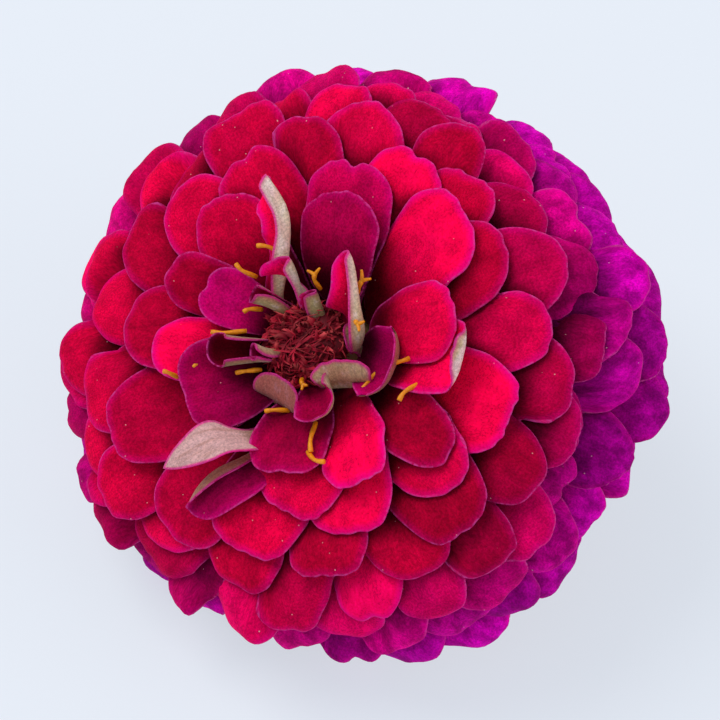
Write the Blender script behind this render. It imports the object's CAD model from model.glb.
"""A fully double zinnia bloom with a short cut stem, lying on a pale table.

The bloom is worked out round its own axis, in millimetres, with its widest plane at zero
height and its disc towards +Z, and is then tipped over on to the cut end of its stem.
"""

import math
from dataclasses import dataclass, replace

import bpy
import numpy as np
from bpy.props import FloatProperty, FloatVectorProperty, IntProperty, PointerProperty
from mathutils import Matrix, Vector


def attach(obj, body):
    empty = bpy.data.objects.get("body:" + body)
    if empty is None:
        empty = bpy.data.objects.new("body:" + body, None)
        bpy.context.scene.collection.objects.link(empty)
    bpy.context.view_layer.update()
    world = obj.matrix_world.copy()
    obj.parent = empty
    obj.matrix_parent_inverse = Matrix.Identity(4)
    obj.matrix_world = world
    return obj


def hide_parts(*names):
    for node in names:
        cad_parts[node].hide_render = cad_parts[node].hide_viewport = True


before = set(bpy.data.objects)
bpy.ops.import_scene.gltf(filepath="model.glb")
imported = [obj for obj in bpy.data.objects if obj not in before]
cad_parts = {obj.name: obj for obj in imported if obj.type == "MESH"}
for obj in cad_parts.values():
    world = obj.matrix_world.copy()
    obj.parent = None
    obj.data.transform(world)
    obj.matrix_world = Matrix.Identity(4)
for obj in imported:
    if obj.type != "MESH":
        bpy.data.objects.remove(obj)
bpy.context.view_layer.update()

bl_info = {
    "name": "Zinnia Bloom",
    "version": (1, 0, 0),
    "blender": (4, 5, 0),
    "location": "View3D > Sidebar > Zinnia",
    "description": "Dresses a cut zinnia bloom: petals, disc, styles, bracts, stem and stage",
    "category": "Add Mesh",
}

MM = 0.001  # metres in a millimetre, the unit of every shape below


def linear(hex_colour):
    """An sRGB hex colour as linear red, green and blue."""
    parts = [int(hex_colour[i : i + 2], 16) / 255 for i in (1, 3, 5)]
    return tuple(c / 12.92 if c <= 0.04045 else ((c + 0.055) / 1.055) ** 2.4 for c in parts)


def colour(name, hex_colour, description):
    tint = linear(hex_colour)
    return FloatVectorProperty(
        name=name, description=description, subtype="COLOR", size=3, min=0, max=1, default=tint
    )


def number(name, value, description, **kind):
    return FloatProperty(name=name, description=description, default=value, **kind)


def length(name, millimetres, description):
    return number(name, millimetres * MM, description, unit="LENGTH", subtype="DISTANCE")


def count(name, value, description):
    return IntProperty(name=name, description=description, default=value, min=10)


# ---- what a user would change ---------------------------------------------------------


class ZinniaShape(bpy.types.PropertyGroup):
    """Sizes of the bloom."""

    radius: length("Bloom radius", 45, "Widest reach of the outer petals from the bloom's axis")
    dome: length("Dome height", 27, "From the widest plane up to the crown of the petal dome")
    skirt: length("Skirt depth", 22, "How deep the dome would close under the widest plane")
    thickness: length("Petal thickness", 0.34, "Thickness of a petal in the middle of its blade")
    ripple: length("Edge ripple", 0.28, "How far a petal's edge waves up and down")
    rows: count("Petal rows", 34, "Faces along a petal")
    columns: count("Petal columns", 26, "Faces across a petal")


class ZinniaColours(bpy.types.PropertyGroup):
    """Colours of the bloom."""

    crimson: colour("Crimson", "#fd0247", "Young petals round the disc")
    rose: colour("Rose crimson", "#f40268", "Petals half way down the dome")
    magenta: colour("Magenta", "#e60290", "Older petals near the rim")
    purple: colour("Purple", "#dc02b0", "The oldest, most faded petals")
    rim: colour("Petal rim", "#d8489c", "The thin pale line along a petal's edge")
    underside: colour("Petal underside", "#c8b078", "The dull buff backs of the petals")
    underside_pale: colour("Pale underside", "#f6dedc", "The palest part of a back, with a lilac cast")
    underside_green: colour("Underside veins", "#8f8450", "Olive veins on the backs")
    underside_flush: colour("Underside flush", "#bc2450", "Pink flush on the backs")
    pollen: colour("Pollen", "#ffc4c0", "Specks of pollen and fuzz on the petals")
    pith: colour("Pith", "#b9c07a", "Fleshy green-white of the receptacle and the cut")
    bract: colour("Bracts", "#6f8f3c", "The green cup under the petals")
    bract_edge: colour("Bract edge", "#2a1a16", "The dark fringe of the bracts")
    stem: colour("Stem", "#8aa050", "Skin of the cut stem")
    chaff: colour("Disc scales", "#bc1034", "Dry scales of the disc")
    chaff_tip: colour("Scale tips", "#cc4c4c", "Frayed tips of the disc scales")
    style: colour("Styles", "#f59a06", "The forked styles between the inner petals")
    style_foot: colour("Style foot", "#c86a08", "The older orange at the foot of a style")


class ZinniaStage(bpy.types.PropertyGroup):
    """The table, the light and the camera."""

    elevation: number(
        "Camera elevation", math.radians(57), "How steeply the camera looks down", subtype="ANGLE"
    )
    distance: length("Camera distance", 350, "From the camera to the middle of the bloom")
    scale: number("Magnification", 6.58, "Pixels that a millimetre of the bloom covers")
    table: colour("Table glow", "#eef6ff", "The pale light of the table top")
    table_shade: colour("Table", "#8c8f95", "What the table adds under the lamp")
    sky: colour("Room light", "#eef4ff", "The soft light of the room")
    sky_strength: number("Room light strength", 0.55, "Light from all round")
    glow: number("Table light", 0.63, "Light that the pale table gives back")
    window_power: number("Window light", 22.5, "Power of the large soft light", subtype="POWER")
    card_power: number("Card light", 5, "Power of the smaller light on the right", subtype="POWER")


# ---- how the bloom stands -------------------------------------------------------------

AXIS = Vector((-0.385, -0.348, 0.855)).normalized()
STEM_END = -30.0  # mm: where the cut crosses the bloom's axis
STEM_TOP = -14.0
STEM_RADIUS = 2.3  # mm at the cut
TURN = np.array(Vector((0, 0, 1)).rotation_difference(AXIS).to_matrix())


def bloom_centre():
    """The middle of the widest plane, in mm: the stem's top face lies a known way below it."""
    points = np.array([v.co[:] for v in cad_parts["cut_stem"].data.vertices]) / MM
    along = points @ np.array(AXIS)
    top = points[along > along.max() - 0.05]
    return (top.min(axis=0) + top.max(axis=0)) / 2 - STEM_TOP * np.array(AXIS)


CENTRE = bloom_centre()


def to_world(points):
    """Bloom-frame millimetres to world millimetres."""
    return points @ TURN.T + CENTRE


# ---- numbers drawn once and for all ---------------------------------------------------


class Wobble:
    """A smooth random height over a plane: a few long waves in seeded directions."""

    def __init__(self, rng, waves=5):
        self.angle = rng.uniform(0, 2 * np.pi, waves)
        self.pitch = rng.uniform(0.6, 1.7, waves)
        self.phase = rng.uniform(0, 2 * np.pi, waves)

    def __call__(self, x, y):
        total = 0.0
        for angle, pitch, phase in zip(self.angle, self.pitch, self.phase):
            total = total + np.sin((x * np.cos(angle) + y * np.sin(angle)) * pitch + phase)
        return total / np.sqrt(len(self.angle))


def seeded(seed):
    return np.random.default_rng(seed)


def smooth(low, high, value):
    t = np.clip((value - low) / (high - low), 0, 1)
    return t * t * (3 - 2 * t)


# ---- the petal ------------------------------------------------------------------------


@dataclass(frozen=True)
class Petal:
    """One ray petal: angles in degrees, lengths in mm. Left is its counter-clockwise side."""

    azimuth: float
    tip: float  # place of its tip on the dome, from the crown down
    width: float
    rise: float = 0.0  # height of its tip above the dome
    reach: float = 0.0  # how far its tip stands out beyond the dome
    cup: float = 0.0  # how much more hollow than the dome it is towards its tip
    base: float = None  # height at which it grows, where the tip doesn't settle it
    root: float = 0.3  # how far from the receptacle its claw stands
    curl: float = 0.0  # how much its tip turns up
    curl_from: float = 0.6  # share of its length
    left: float = 0.0  # how much its left edge is rolled up
    right: float = 0.0
    fold_from: float = 0.3  # share of its half width from which its sides roll
    twist: float = 0.0
    sway: float = 0.0
    notch: float = 0.0  # depth of the notch in its tip
    blunt: float = 2.35  # 2 for an elliptic tip, more for a squarer one
    widest: float = 0.7  # share of its length
    ripple: float = 1.0  # how wavy it is
    puff: float = 0.55  # how far its edge turns down
    wild: float = 1.0  # how much it may differ from its neighbours
    shelter: float = 1.0  # how much the petals above it darken it
    age: float = None  # 0 for crimson, 1 for purple
    light: float = None  # 0 for a deep colour, 1 for a bright one


@dataclass(frozen=True)
class Curled:
    """A young petal drawn through stations from its claw to its tip.

    A station is azimuth, radius and height of the midline, the width there, how far the
    blade is turned round its own length, and how far its left and right edges roll up.
    heading, in place of the azimuth, says which way the face's width lies across; skew
    widens the left side.
    """

    stations: tuple
    fold_from: float = 0.25
    fold_to: float = 1.0
    widest: float = 0.75
    blunt: float = 2.2
    notch: float = 0.0
    curl: float = 0.0
    heading: float = None
    skew: float = 0.0
    ripple: float = 0.35
    age: float = 0.0
    light: float = 0.5


# The receptacle's outline as radius and height in mm: shoulders, widest place and foot.
CORE_TOP = (4.8, 18.2)
CORE_WIDEST = (8.4, -8.2)
CORE_FOOT = (5.2, -12.6)
FULLNESS = 0.8  # below 1 the dome's outline is fuller than an ellipse
CLAW = 0.24  # width of a ray petal at its foot, as a share of its width

# A ray petal's midline. The farther its tip lies from the crown, the lower it grows, the
# flatter it leaves the receptacle and the more steeply it hangs at its tip. Each rule is a
# start and its change for each degree of tip.
BASE_HEIGHT = (17.6, -0.208)  # mm
LEAVES_AT = (88, -0.88)  # degrees above level
ARRIVES_AT = (52, -1.34)
HANDLE = 0.38  # share of the span over which each end holds its direction


def by_tip(rule, tip):
    start, change = rule
    return start + change * tip


def dome_point(tip, shape):
    """Radius and height of the dome's outline at this many degrees from its crown, in mm."""
    s, c = math.sin(math.radians(tip)), math.cos(math.radians(tip))
    depth = shape.dome if c > 0 else -shape.skirt
    return np.array([shape.radius * s**FULLNESS, depth * abs(c) ** FULLNESS]) / MM


def core_radius(height, low=CORE_WIDEST, high=CORE_TOP):
    """Radius of the receptacle at a height between two places of its outline, in mm."""
    share = (height - low[1]) / (high[1] - low[1])
    return low[0] + (high[0] - low[0]) * share


def petal_midline(petal, shape, steps=72):
    """Radius and height along the petal, from its claw on the receptacle to its tip."""
    end = dome_point(petal.tip, shape) + (petal.reach, petal.rise)
    base = by_tip(BASE_HEIGHT, petal.tip) if petal.base is None else petal.base
    start = np.array([core_radius(base) + petal.root, base])
    leave = math.radians(by_tip(LEAVES_AT, petal.tip))
    arrive = math.radians(by_tip(ARRIVES_AT, petal.tip))
    handle = HANDLE * np.linalg.norm(end - start)
    pull = start + handle * np.array([math.cos(leave), math.sin(leave)])
    lead = end - handle * np.array([math.cos(arrive), math.sin(arrive)])
    t = np.linspace(0, 1, steps)[:, None]
    return (1 - t) ** 3 * start + 3 * (1 - t) ** 2 * t * pull + 3 * (1 - t) * t**2 * lead + t**3 * end


def through(shares, values, at):
    """A smooth curve through values at rising shares (cubic, with Catmull-Rom slopes)."""
    values = np.asarray(values, float)
    slopes = np.gradient(values, shares, axis=0)
    i = np.clip(np.searchsorted(shares, at) - 1, 0, len(shares) - 2)
    gap = (shares[i + 1] - shares[i])[:, None]
    t = ((at - shares[i]) / gap[:, 0])[:, None]
    a, b, u, v = values[i], values[i + 1], slopes[i] * gap, slopes[i + 1] * gap
    return (
        (2 * t**3 - 3 * t**2 + 1) * a
        + (t**3 - 2 * t**2 + t) * u
        + (3 * t**2 - 2 * t**3) * b
        + (t**3 - t**2) * v
    )


class Spine:
    """The midline of a blade in space, with the directions across it and out of its face."""

    def __init__(self, points, azimuth, turn=0.0):
        step = np.linalg.norm(np.diff(points, axis=0), axis=1)
        self.reach = np.concatenate([[0], np.cumsum(step)])
        self.length = self.reach[-1]
        tangent = np.gradient(points, self.reach, axis=0)
        tangent /= np.linalg.norm(tangent, axis=1, keepdims=True)
        side = np.stack([-np.sin(azimuth), np.cos(azimuth), np.zeros_like(azimuth)], 1)
        side -= (side * tangent).sum(1, keepdims=True) * tangent
        side /= np.linalg.norm(side, axis=1, keepdims=True)
        face = np.cross(tangent, side)
        c, s = np.cos(turn)[:, None], np.sin(turn)[:, None]
        self.points, self.tangent = points, tangent
        self.side, self.face = c * side + s * face, c * face - s * side

    def at(self, y, rows):
        """What rows hold at y mm along the spine."""
        return np.stack([np.interp(y, self.reach, rows[:, k]) for k in range(3)], -1)

    def bend_on(self, degrees, start=0.6):
        """Curls the far end of the midline up by this many degrees."""
        if not degrees:
            return self
        share = self.reach / self.length
        angle = math.radians(degrees) * smooth(start, 1, share) ** 1.3
        step = np.diff(self.reach)[:, None]
        turned = np.cos(angle)[:, None] * self.tangent + np.sin(angle)[:, None] * self.face
        face = np.cos(angle)[:, None] * self.face - np.sin(angle)[:, None] * self.tangent
        middle = (turned[1:] + turned[:-1]) / 2
        self.points = np.vstack([self.points[:1], self.points[0] + np.cumsum(middle * step, axis=0)])
        self.tangent, self.face = turned, face
        return self


def ray_spine(petal, shape):
    """The spine of an open ray petal, swayed aside, twisted and curled at its tip."""
    line = petal_midline(petal, shape)
    share = np.linspace(0, 1, len(line))
    azimuth = np.radians(petal.azimuth + petal.sway * share**2)
    points = np.stack([line[:, 0] * np.cos(azimuth), line[:, 0] * np.sin(azimuth), line[:, 1]], 1)
    turn = np.radians(petal.twist) * smooth(0.15, 1, share)
    return Spine(points, azimuth, turn).bend_on(petal.curl, petal.curl_from)


def curled_rows(petal, steps=72):
    """Shares of the blade's length, and at each x, y, z, azimuth, width, turn, left, right."""
    stations = np.array(petal.stations, float)
    azimuth = np.radians(stations[:, 0])
    radius, height = stations[:, 1], stations[:, 2]
    knots = np.stack([radius * np.cos(azimuth), radius * np.sin(azimuth), height], 1)
    chord = np.concatenate([[0], np.cumsum(np.linalg.norm(np.diff(knots, axis=0), axis=1))])
    shares = np.linspace(0, 1, steps)
    rows = through(chord / chord[-1], np.hstack([knots, azimuth[:, None], stations[:, 3:]]), shares)
    return shares, rows


def blade_plan(petal, full_length, half_width, rng, rows, columns):
    """Flat outline of a blade as a grid: mm across, mm along, and mm to the nearest edge."""
    t = np.linspace(0, 1, rows + 1)
    lane = np.linspace(-1, 1, columns + 1)
    lane = 0.55 * np.sin(lane * np.pi / 2) + 0.45 * lane
    turn = 0.52  # share of the rows spent below the widest place
    below = np.clip(t / turn, 0, 1)
    cap = np.clip((t - turn) / (1 - turn), 0, 1)
    cap = 0.5 * np.sin(cap * np.pi / 2) + 0.5 * cap
    across = lane[None, :] * np.sqrt(1 - cap[:, None] ** 2 / 2)
    along = cap[:, None] * np.sqrt(1 - lane[None, :] ** 2 / 2)
    round_size = np.hypot(across, along)
    blunt_size = (np.abs(across) ** petal.blunt + along**petal.blunt) ** (1 / petal.blunt)
    swell = np.where(round_size > 1e-9, round_size / np.maximum(blunt_size, 1e-9), 1)
    swell = 1 + (swell - 1) * (cap[:, None] > 0)
    x = half_width(petal.widest * below)[:, None] * across * swell
    y = (petal.widest * below[:, None] + (1 - petal.widest) * along * swell) * full_length
    uneven = Wobble(rng, 3)
    size = min(1.0, half_width(np.array([petal.widest]))[0] / 6)
    y = y + size * cap[:, None] * (0.45 * uneven(x / 2.2, 0) + 0.14 * uneven(x * 2.2, 4))
    x = x * (1 + 0.05 * uneven(y / 3.5, 9))
    y = y - petal.notch * np.exp(-((x / (1.3 * size)) ** 2)) * cap[:, None] ** 4
    rim_x, rim_y = (np.concatenate([grid[:, 0], grid[-1], grid[:, -1]]) for grid in (x, y))
    gap = np.hypot(x[..., None] - rim_x, y[..., None] - rim_y).min(axis=2)
    return x, y, gap


GAUSS_X, GAUSS_W = np.polynomial.legendre.leggauss(16)
GAUSS_X, GAUSS_W = (GAUSS_X + 1) / 2, GAUSS_W / 2


def ray_blade(petal, rng, shape, rows, columns):
    """Middle surface of an open ray petal."""
    spine = ray_spine(petal, shape)
    half_width = petal.width / 2

    def width_at(share):
        open_part = np.sin(np.clip(share / petal.widest, 0, 1) * np.pi / 2) ** 1.3
        return half_width * (CLAW + (1 - CLAW) * open_part)

    x, y, gap = blade_plan(petal, spine.length, width_at, rng, rows, columns)
    share = y / spine.length
    middle = spine.at(y, spine.points)
    slope = spine.at(y, spine.tangent)
    bend = slope[..., 2] / np.maximum(np.hypot(middle[..., 0], middle[..., 1]), 3) + petal.cup * share
    grown = smooth(0.1, 0.55, share)
    sway = Wobble(rng, 4)

    def turned(place):
        far = np.clip((np.abs(place) / half_width - petal.fold_from) / (1 - petal.fold_from), 0, 1.2)
        roll = np.where(place > 0, math.radians(petal.left), -math.radians(petal.right))
        soft = 0.1 * np.sin(np.pi * place / half_width + sway.phase[0])
        return bend[..., None] * place + grown[..., None] * (roll * far + soft)

    point, normal = swept(spine, x, y, turned)
    outer = np.abs(x) / half_width
    wave = shape.ripple / MM * petal.ripple * outer**3
    wave = wave * np.sin(y * 2 * np.pi / 6.5 + sway.phase[1] + np.sign(x) * sway.phase[2])
    swell = 0.4 * petal.ripple * sway(x / 3.4, y / 4.4) * smooth(0.25, 0.8, share)
    pucker = 0.09 * petal.ripple * sway(x / 1.1 + 3, y / 1.5 + 7) * smooth(0.3, 0.7, share)
    crease = -0.16 * np.exp(-((x / 0.6) ** 2)) * smooth(0.1, 0.5, share) * smooth(1.02, 0.8, share)
    ribs = 0.025 * np.cos(x * 2 * np.pi / 1.25) * smooth(0.98, 0.75, share)
    edge_turn = -petal.puff * np.exp(-gap / 1.4) * smooth(0.3, 0.7, share)
    point = point + (wave + swell + pucker + crease + ribs + edge_turn)[..., None] * normal
    return point, surface_normals(point, normal), x, y, share, gap


def curled_blade(petal, rng, rows, columns):
    """Middle surface of a rolled or folded petal, and how deep each place lies in its hollow."""
    shares, dense = curled_rows(petal)
    across = dense[:, 3] if petal.heading is None else np.full(len(dense), math.radians(petal.heading))
    spine = Spine(dense[:, :3], across, np.radians(dense[:, 5])).bend_on(petal.curl)

    def width_at(share):
        return np.interp(share, shares, dense[:, 4]) / 2

    x, y, gap = blade_plan(petal, spine.length, width_at, rng, rows, columns)
    share = y / spine.length
    half = np.maximum(width_at(share), 0.3)
    x = x + petal.skew * half
    left = np.radians(np.interp(share, shares, dense[:, 6]))[..., None]
    right = np.radians(np.interp(share, shares, dense[:, 7]))[..., None]

    def turned(place):
        far = (np.abs(place) / half[..., None] - petal.fold_from) / (petal.fold_to - petal.fold_from)
        far = np.clip(far, 0, 1.1 if petal.fold_to == 1 else 1)
        return np.where(place > 0, left * far, -right * far)

    point, normal = swept(spine, x, y, turned)
    rolled = np.clip((left + right)[..., 0] / math.radians(260), 0, 1)
    hollow = rolled * np.clip(1 - (x / half) ** 2, 0, 1)
    sway = Wobble(rng, 4)
    swell = 0.3 * petal.ripple * sway(x / 1.8, y / 2.4) * smooth(0.1, 0.5, share)
    point = point + swell[..., None] * normal
    return point, surface_normals(point, normal), x, y, share, gap, hollow


def swept(spine, x, y, turned):
    """Points and normals x mm across and y mm along, where "turned" bends the cross-section."""
    beyond = np.maximum(y - spine.length, 0)
    middle = spine.at(y, spine.points) + beyond[..., None] * spine.tangent[-1]
    side, face = spine.at(y, spine.side), spine.at(y, spine.face)
    angles = turned(x[..., None] * GAUSS_X)
    sideways = x * (np.cos(angles) * GAUSS_W).sum(-1)
    upwards = x * (np.sin(angles) * GAUSS_W).sum(-1)
    last = turned(x[..., None])
    normal = np.cos(last) * face - np.sin(last) * side
    return middle + sideways[..., None] * side + upwards[..., None] * face, normal


def surface_normals(point, guess):
    """True normals of a grid of points, facing the way that guess does."""
    rows = np.gradient(point, axis=0)
    columns = np.gradient(point, axis=1)
    normal = np.cross(rows, columns)
    normal *= np.sign((normal * guess).sum(-1))[..., None]
    size = np.linalg.norm(normal, axis=-1, keepdims=True)
    return np.where(size > 1e-6, normal / np.maximum(size, 1e-6), guess)


def finer(point, axis):
    """The grid of points with one more between each two along this axis."""
    point = np.moveaxis(point, axis, 0)
    both = np.empty((2 * len(point) - 1, *point.shape[1:]))
    both[::2], both[1::2] = point, (point[1:] + point[:-1]) / 2
    return np.moveaxis(both, 0, axis)


def blurred(grid):
    """The grid with each place averaged with its four neighbours, itself counted twice."""
    edged = np.pad(grid, 1, mode="edge")
    around = edged[:-2, 1:-1] + edged[2:, 1:-1] + edged[1:-1, :-2] + edged[1:-1, 2:]
    return (around + 2 * grid) / 6


class Crowd:
    """The petals placed so far, as the lowest skin over each direction from the bloom's middle.

    A later petal grows under the earlier ones, so its blade is pressed in to clear theirs.
    Its foot isn't pressed, and feet may cross where nothing shows.
    """

    CELL = 0.7  # degrees
    GAP = 0.28  # mm
    FARTHEST_PUSH = 3.5  # mm
    SHADE_SPREAD = 36  # how many places the shade of a petal reaches beyond it

    def __init__(self):
        self.skin = np.full((int(360 / self.CELL) + 1, int(150 / self.CELL)), np.inf)
        self.shaded = np.zeros(self.skin.shape, bool)

    def cells(self, point):
        distance = np.linalg.norm(point, axis=-1)
        azimuth = np.degrees(np.arctan2(point[..., 1], point[..., 0])) % 360
        polar = np.degrees(np.arccos(point[..., 2] / distance))
        last = self.skin.shape[1] - 1
        j = np.clip(polar / self.CELL, 0, last).astype(int)
        return distance, (azimuth / self.CELL).astype(int), j

    def press(self, point, share, curled_from=1.0):
        """The petal pushed towards the middle of the bloom where its blade would cut another.

        A curled tip moves as a whole, with the place where it starts to curl.
        """
        distance, i, j = self.cells(point)
        limit = np.full(distance.shape, np.inf)
        for di in (-1, 0, 1):
            for dj in (-1, 0, 1):
                jj = np.clip(j + dj, 0, self.skin.shape[1] - 1)
                limit = np.minimum(limit, self.skin[(i + di) % self.skin.shape[0], jj])
        push = np.clip(distance - (limit - self.GAP), 0, self.FARTHEST_PUSH) * smooth(0.12, 0.3, share)
        rows, columns = push.shape
        for _ in range(3):
            edged = np.pad(push, 1, mode="edge")
            around = [edged[a : a + rows, b : b + columns] for a in range(3) for b in range(3)]
            push = np.maximum(push, np.mean(around, axis=0))
        start = int(np.searchsorted(share[:, share.shape[1] // 2], curled_from))
        push[start:] = push[min(start, len(push) - 1)]
        return point * (1 - push / distance)[..., None]

    def openness(self, point, share):
        """1 where a petal lies in the open, towards 0 under others and at its own foot."""
        _, i, j = self.cells(point)
        cover = self.shaded[i, j].astype(float)
        for _ in range(self.SHADE_SPREAD):
            cover = blurred(cover)
        return np.minimum(smooth(0.26, 0.98, 1 - cover), smooth(0.18, 0.95, share) ** 0.9)

    def join(self, point, thickness, presses=True):
        """Adds a placed petal to the skin, or only to what casts shade."""
        fine = finer(finer(finer(finer(point, 0), 0), 1), 1)
        start = int(fine.shape[0] * 0.3)
        distance, i, j = self.cells(fine[start:])
        self.shaded[i.ravel(), j.ravel()] = True
        if presses:
            np.minimum.at(self.skin, (i.ravel(), j.ravel()), (distance - thickness / 2).ravel())


def off_the_table(point, lift=0.35):
    """Raises whatever would lie below the table, in the bloom's own frame."""
    height = to_world(point)[..., 2]
    up = TURN.T @ np.array([0, 0, 1.0])
    return point + np.maximum(lift - height, 0)[..., None] * up


class MeshParts:
    """Gathers vertices, faces and their attributes for one object."""

    def __init__(self):
        self.points, self.faces, self.slots, self.tone, self.place = [], [], [], [], []
        self.count = 0

    def add(self, points, faces, slots, tone, place):
        self.points.append(points)
        self.faces.append(np.asarray(faces) + self.count)
        self.slots.append(slots)
        self.tone.append(tone)
        self.place.append(place)
        self.count += len(points)

    def add_solid(self, points, quads, caps, tone, cap_slot=0):
        """Adds a closed solid of one tone, with triangles on its ends in their own slot."""
        start = self.count
        self.add(points, quads, np.zeros(len(quads)), np.broadcast_to(tone, (len(points), 4)), points)
        self.faces.append(np.asarray(caps, int).reshape(-1, 3) + start)
        self.slots.append(np.full(len(caps), cap_slot))

    def build(self, name, materials):
        points = to_world(np.vstack(self.points)) * MM
        mesh = bpy.data.meshes.new(name)
        faces = [tuple(int(i) for i in face) for block in self.faces for face in block]
        mesh.from_pydata(points.tolist(), [], faces)
        for material in materials:
            mesh.materials.append(material)
        mesh.polygons.foreach_set("material_index", np.concatenate(self.slots).astype(np.int32))
        mesh.polygons.foreach_set("use_smooth", np.ones(len(faces), bool))
        tone = mesh.attributes.new("petal_tone", "FLOAT_COLOR", "POINT")
        tone.data.foreach_set("color", np.vstack(self.tone).astype(np.float32).ravel())
        place = mesh.attributes.new("petal_place", "FLOAT_VECTOR", "POINT")
        place.data.foreach_set("vector", np.vstack(self.place).astype(np.float32).ravel())
        mesh.validate()
        mesh.update()
        made = bpy.data.objects.new(name, mesh)
        bpy.context.scene.collection.objects.link(made)
        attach(made, "root")
        return made


def sheet_faces(rows, columns):
    """Quads of a closed thin sheet: upper grid, lower grid, then the rim. Slots: 0 up, 1 down."""
    at = np.arange(rows * columns).reshape(rows, columns)
    quads = np.stack([at[:-1, :-1], at[1:, :-1], at[1:, 1:], at[:-1, 1:]], -1).reshape(-1, 4)
    lower = quads[:, ::-1] + rows * columns
    loop = np.concatenate([at[0, :-1], at[:-1, -1], at[-1, :0:-1], at[:0:-1, 0]])
    follow = np.roll(loop, -1)
    rim = np.stack([loop, follow, follow + rows * columns, loop + rows * columns], -1)
    faces = np.vstack([quads, lower, rim])
    slots = np.concatenate([np.zeros(len(quads)), np.ones(len(lower)), np.zeros(len(rim))])
    return faces, slots


def add_sheet(parts, point, normal, x, y, opened, gap, thickness, age, light, share):
    """A closed thin petal over its middle surface."""
    half = thickness / 2 * (0.55 + 0.45 * smooth(0, 0.9, gap)) * (1 + 1.2 * smooth(0.3, 0, share))
    upper = point + normal * half[..., None]
    lower = point - normal * half[..., None]
    faces, slots = sheet_faces(*x.shape)
    if np.cross(point[1, 0] - point[0, 0], point[0, 1] - point[0, 0]) @ normal[0, 0] < 0:
        faces = faces[:, ::-1]
    tone = np.stack(
        [np.full_like(x, age), opened, np.clip(gap / 3, 0, 1), np.full_like(x, light)], -1
    ).reshape(-1, 4)
    place = np.stack([x, y, np.full_like(x, light * 97 + age * 31)], -1).reshape(-1, 3)
    points = np.vstack([upper.reshape(-1, 3), lower.reshape(-1, 3)])
    parts.add(points, faces, slots, np.vstack([tone, tone]), np.vstack([place, place]))


# The tip angle from which petals fade, at each eighth of the way round: one side fades first.
FADES_FROM = (35.5, 47, 51, 54.5, 54.5, 51, 51.5, 51)
FADED_AFTER = 46


def by_azimuth(values, azimuth):
    """The value at this azimuth, where values are given at even steps round the bloom."""
    return np.interp(azimuth % 360, np.linspace(0, 360, len(values) + 1), (*values, values[0]))


def petal_age(petal, rng):
    """0 for fresh crimson, 1 for faded purple."""
    if petal.age is not None:
        return petal.age
    start = by_azimuth(FADES_FROM, petal.azimuth)
    return float(smooth(start, start + FADED_AFTER, petal.tip) + rng.normal(0, 0.03))


# ---- petals that stand alone, from the disc outwards -------------------------------------

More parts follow.
